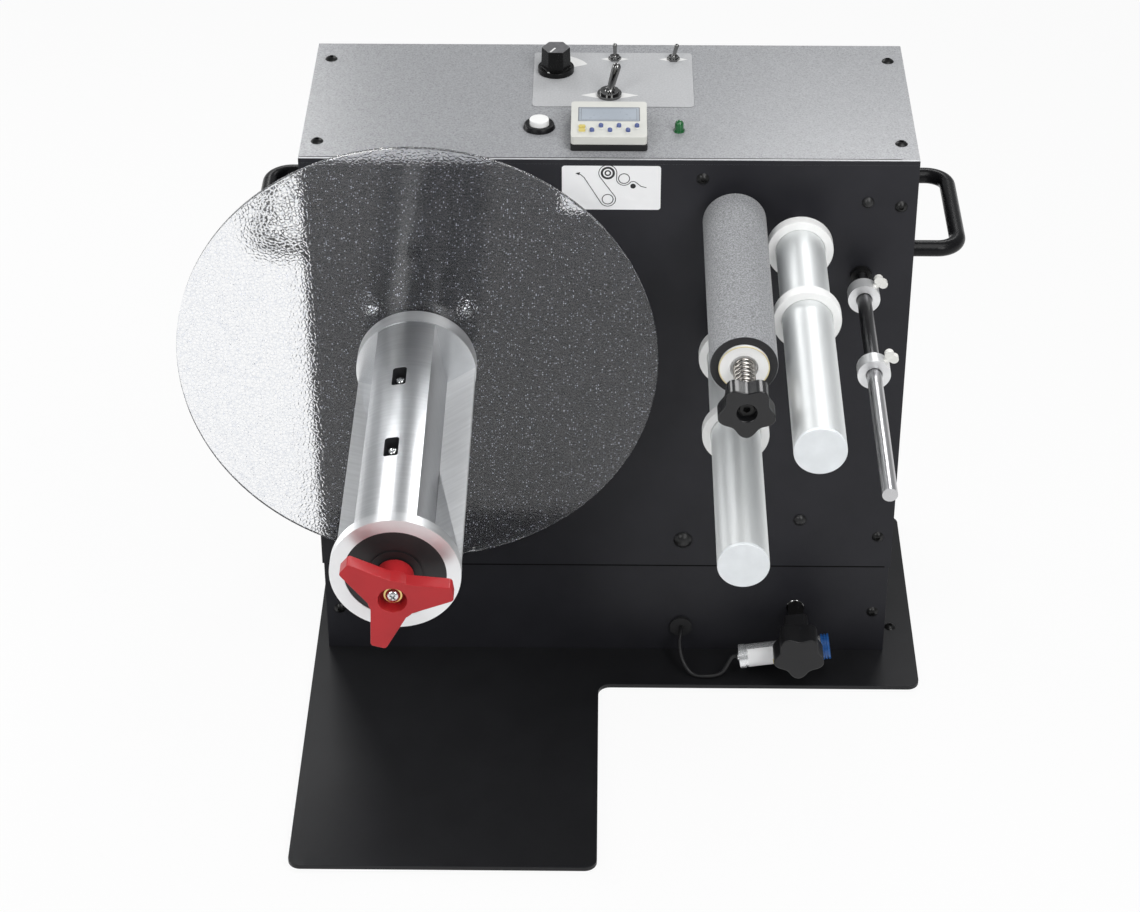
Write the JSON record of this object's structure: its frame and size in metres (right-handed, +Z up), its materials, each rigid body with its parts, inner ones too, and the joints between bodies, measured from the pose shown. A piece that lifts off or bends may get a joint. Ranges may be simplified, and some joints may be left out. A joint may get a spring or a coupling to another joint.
{
  "type": "label rewinder",
  "caption": "Upright bench rewinder: clear flange disc and expanding core chuck, braked foam roller, idlers with edge collars, guide bar, label sensor and top controls.",
  "frame": {"origin": "middle of the footprint box, on the floor under the feet", "axes": "+Z up, -Y out of the front panel towards the operator, +X to the right seen from the front"},
  "size_m": [0.503, 0.4404, 0.412],
  "materials": {
    "cabinet_black": "satin black powder coat",
    "top_grey": "fine silver-grey metallic",
    "base_grey": "satin black paint",
    "black_rubber": "matte",
    "black_screws": "black oxide",
    "bright_steel": "bright",
    "black_plastic": "fine matte",
    "knob_black": "semi-gloss",
    "case_light": "smooth",
    "display": "clear",
    "lamp_green": "clear",
    "switch_metal": "nickel",
    "handle_black": "semi-gloss",
    "cast_alloy": "as cast",
    "motor_dark": "satin",
    "board_green": "solder mask",
    "clear_disc": "clear, pebbled",
    "alloy": "machined",
    "red_plastic": "semi-gloss",
    "foam": "open foam",
    "white_plastic": "smooth",
    "blue_plastic": "smooth"
  },
  "bodies": {
    "cabinet": {"base_plate": "base_grey", "rubber_feet": "black_rubber", "riser_box": "cabinet_black", "front_panel": "cabinet_black", "cabinet_shell": "cabinet_black", "rear_cover": "cabinet_black", "top_panel": "top_grey", "panel_screws": "black_screws", "motor_screws": "bright_steel", "hole_plugs": "black_plastic", "counter_base": "black_plastic", "counter_case": "case_light", "counter_window": "display", "lamp_lens": "lamp_green", "button_bezel": "black_plastic", "switch_bodies": "switch_metal", "side_handles": "handle_black", "gearbox": "cast_alloy", "drive_motor": "motor_dark", "control_board": "board_green", "mains_inlet": "black_plastic", "roller_axles": "bright_steel", "guide_bar": "bright_steel", "cord_grommet": "black_rubber", "sensor_post": "black_screws", "sensor_cord": "black_rubber", "brake_spring": "bright_steel"},
    "spindle": {"spindle_shaft": "bright_steel", "flange_disc": "clear_disc", "chuck_body": "alloy", "chuck_face": "black_plastic"},
    "chuck_knob": {"chuck_knob": "red_plastic", "cam_shaft": "bright_steel"},
    "chuck_jaw": {"chuck_jaw": "alloy", "jaw_screws": "bright_steel"},
    "brake_roller": {"foam_sleeve": "foam", "roller_core": "white_plastic"},
    "brake_washer": {"brake_washer": "bright_steel"},
    "brake_knob": {"brake_knob": "knob_black"},
    "upper_idler": {"upper_tube": "alloy", "upper_caps": "white_plastic"},
    "lower_idler": {"lower_tube": "alloy", "lower_caps": "white_plastic"},
    "upper_collar_rear": {"upper_collar_rear": "white_plastic"},
    "upper_collar_front": {"upper_collar_front": "white_plastic"},
    "lower_collar_rear": {"lower_collar_rear": "white_plastic"},
    "lower_collar_front": {"lower_collar_front": "white_plastic"},
    "guide_collar_rear": {"guide_collar_rear": "alloy"},
    "guide_collar_front": {"guide_collar_front": "alloy"},
    "thumb_screw_rear": {"thumb_screw_rear": "white_plastic"},
    "thumb_screw_front": {"thumb_screw_front": "white_plastic"},
    "speed_knob": {"speed_knob": "black_plastic"},
    "direction_lever": {"direction_lever": "bright_steel"},
    "power_lever": {"power_lever": "bright_steel"},
    "mode_lever": {"mode_lever": "bright_steel"},
    "button_cap": {"button_cap": "white_plastic"},
    "sensor_head": {"sensor_clamp": "black_plastic", "sensor_barrel": "alloy", "sensor_lens": "blue_plastic"},
    "clamp_knob": {"clamp_knob": "knob_black"}
  },
  "joints": [
    {"name": "spindle_spin", "type": "hinge", "parent": "cabinet", "child": "spindle", "pos_m": [-0.099, 0.05975, 0.2593], "axis": [0, 1, 0], "continuous": true},
    {"name": "chuck_knob_turn", "type": "hinge", "parent": "spindle", "child": "chuck_knob", "pos_m": [-0.099, -0.20825, 0.2593], "axis": [0, 1, 0], "range_deg": [0, 150]},
    {"name": "jaw_lift", "type": "slide", "parent": "spindle", "child": "chuck_jaw", "axis": [-0.1495, 0, 0.9888], "range_m": [0, 0.0025]},
    {"name": "brake_roller_spin", "type": "hinge", "parent": "cabinet", "child": "brake_roller", "pos_m": [0.0997, -0.03025, 0.3515], "axis": [0, 1, 0], "continuous": true},
    {"name": "brake_washer_slide", "type": "slide", "parent": "cabinet", "child": "brake_washer", "axis": [0, 1, 0], "range_m": [-0.00125, 0.00125], "deforming": ["brake_spring"]},
    {"name": "brake_knob_turn", "type": "hinge", "parent": "brake_washer", "child": "brake_knob", "pos_m": [0.0997, -0.16025, 0.3515], "axis": [0, 1, 0], "range_deg": [-360, 360]},
    {"name": "upper_idler_spin", "type": "hinge", "parent": "cabinet", "child": "upper_idler", "pos_m": [0.14, -0.07025, 0.3415], "axis": [0, 1, 0], "continuous": true},
    {"name": "lower_idler_spin", "type": "hinge", "parent": "cabinet", "child": "lower_idler", "pos_m": [0.0997, -0.07025, 0.2624], "axis": [0, 1, 0], "continuous": true},
    {"name": "upper_collar_rear_slide", "type": "slide", "parent": "upper_idler", "child": "upper_collar_rear", "axis": [0, -1, 0], "range_m": [-0.004, 0.03]},
    {"name": "upper_collar_front_slide", "type": "slide", "parent": "upper_idler", "child": "upper_collar_front", "axis": [0, -1, 0], "range_m": [-0.035, 0.12]},
    {"name": "lower_collar_rear_slide", "type": "slide", "parent": "lower_idler", "child": "lower_collar_rear", "axis": [0, -1, 0], "range_m": [-0.004, 0.03]},
    {"name": "lower_collar_front_slide", "type": "slide", "parent": "lower_idler", "child": "lower_collar_front", "axis": [0, -1, 0], "range_m": [-0.035, 0.12]},
    {"name": "guide_collar_rear_slide", "type": "slide", "parent": "cabinet", "child": "guide_collar_rear", "axis": [0, -1, 0], "range_m": [-0.012, 0.03]},
    {"name": "guide_collar_front_slide", "type": "slide", "parent": "cabinet", "child": "guide_collar_front", "axis": [0, -1, 0], "range_m": [-0.035, 0.115]},
    {"name": "thumb_screw_rear_turn", "type": "hinge", "parent": "guide_collar_rear", "child": "thumb_screw_rear", "pos_m": [0.1812, 0.03465, 0.3069], "axis": [0.6947, 0, 0.7193], "range_deg": [0, 180]},
    {"name": "thumb_screw_front_turn", "type": "hinge", "parent": "guide_collar_front", "child": "thumb_screw_front", "pos_m": [0.1812, -0.05185, 0.3069], "axis": [0.6947, 0, 0.7193], "range_deg": [0, 180]},
    {"name": "speed_knob_turn", "type": "hinge", "parent": "cabinet", "child": "speed_knob", "pos_m": [-0.0131, 0.17865, 0.3885], "axis": [0, 0, 1], "range_deg": [-150, 150]},
    {"name": "direction_lever_tilt", "type": "hinge", "parent": "cabinet", "child": "direction_lever", "pos_m": [0.0217, 0.14475, 0.3915], "axis": [0, 1, 0], "range_deg": [-28, 0]},
    {"name": "power_lever_tilt", "type": "hinge", "parent": "cabinet", "child": "power_lever", "pos_m": [0.0634, 0.19575, 0.3905], "axis": [0, 1, 0], "range_deg": [-28, 0]},
    {"name": "mode_lever_tilt", "type": "hinge", "parent": "cabinet", "child": "mode_lever", "pos_m": [0.0251, 0.19575, 0.3905], "axis": [0, 1, 0], "range_deg": [-14, 14]},
    {"name": "button_press", "type": "slide", "parent": "cabinet", "child": "button_cap", "axis": [0, 0, -1], "range_m": [0, 0.0025], "stiffness_N_per_m": 400, "springref_m": -0.002},
    {"name": "sensor_swing", "type": "hinge", "parent": "cabinet", "child": "sensor_head", "pos_m": [0.1506, 0.03175, 0.043], "axis": [0, 1, 0], "range_deg": [-5, 15], "deforming": ["sensor_cord"]},
    {"name": "clamp_knob_turn", "type": "hinge", "parent": "cabinet", "child": "clamp_knob", "pos_m": [0.1506, 0.01575, 0.043], "axis": [0, 1, 0], "range_deg": [-180, 0]}
  ],
  "couplings": [
    {"joint": "chuck_knob_turn", "follows": "jaw_lift", "rad_per_m": 1047.2},
    {"joint": "brake_washer_slide", "follows": "brake_knob_turn", "m_per_rad": 0.00019894}
  ]
}
